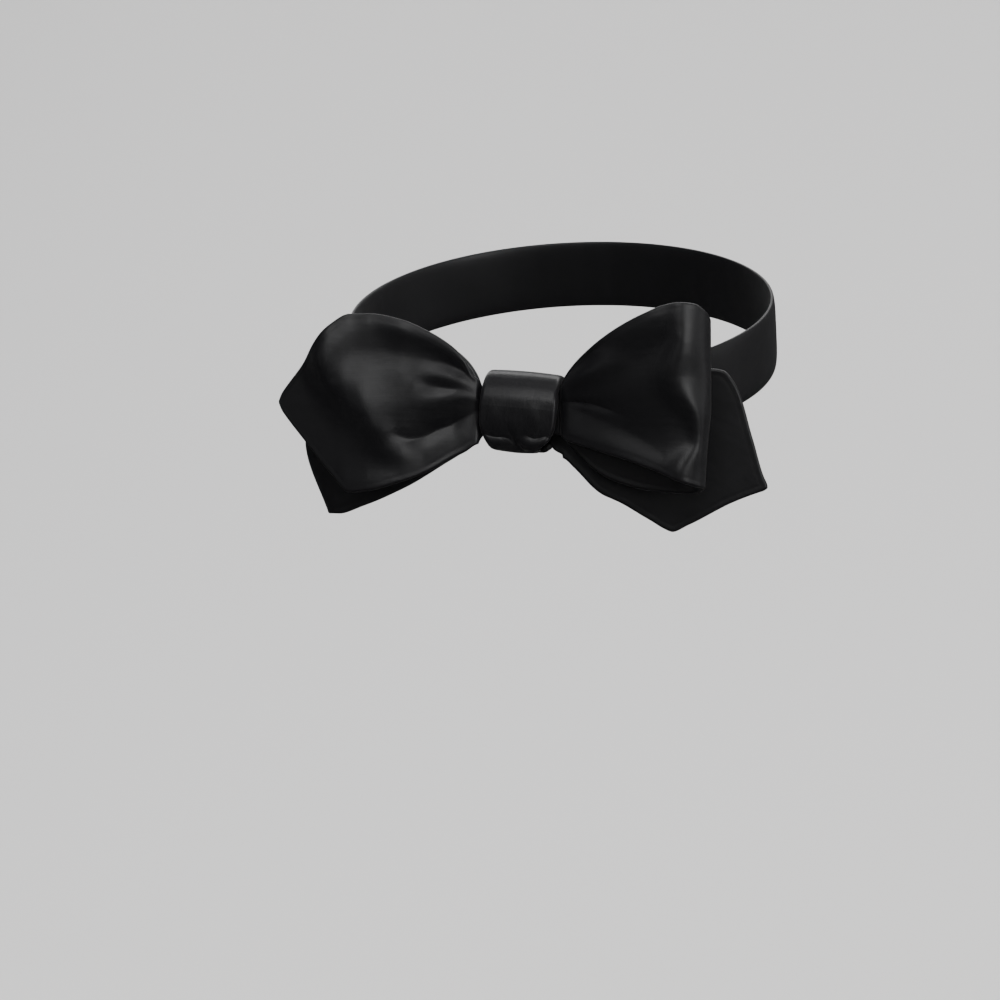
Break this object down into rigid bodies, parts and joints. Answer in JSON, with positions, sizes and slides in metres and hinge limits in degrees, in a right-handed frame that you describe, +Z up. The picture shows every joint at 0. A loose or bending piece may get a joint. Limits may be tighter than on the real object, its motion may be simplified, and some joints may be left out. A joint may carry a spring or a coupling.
{
  "type": "diamond point bow tie",
  "caption": "Self-tied satin bow tie worn as a bow: a pointed end and a folded loop in front, the same pair behind, a wrapped knot and a neckband loop.",
  "frame": {"origin": "middle of the neck opening, on the line round which the neckband runs", "axes": "+Z up along the neck, -Y to the front where the bow is, +X to the wearer's left, which is on the right as seen from the front"},
  "size_m": [0.1315, 0.1407, 0.0844],
  "materials": {
    "bow_satin": "satin",
    "band_satin": "satin"
  },
  "bodies": {
    "root": {"neckband": "band_satin", "knot": "bow_satin", "front_point": "bow_satin", "front_loop": "bow_satin", "rear_loop": "bow_satin", "rear_point": "bow_satin"}
  },
  "joints": []
}
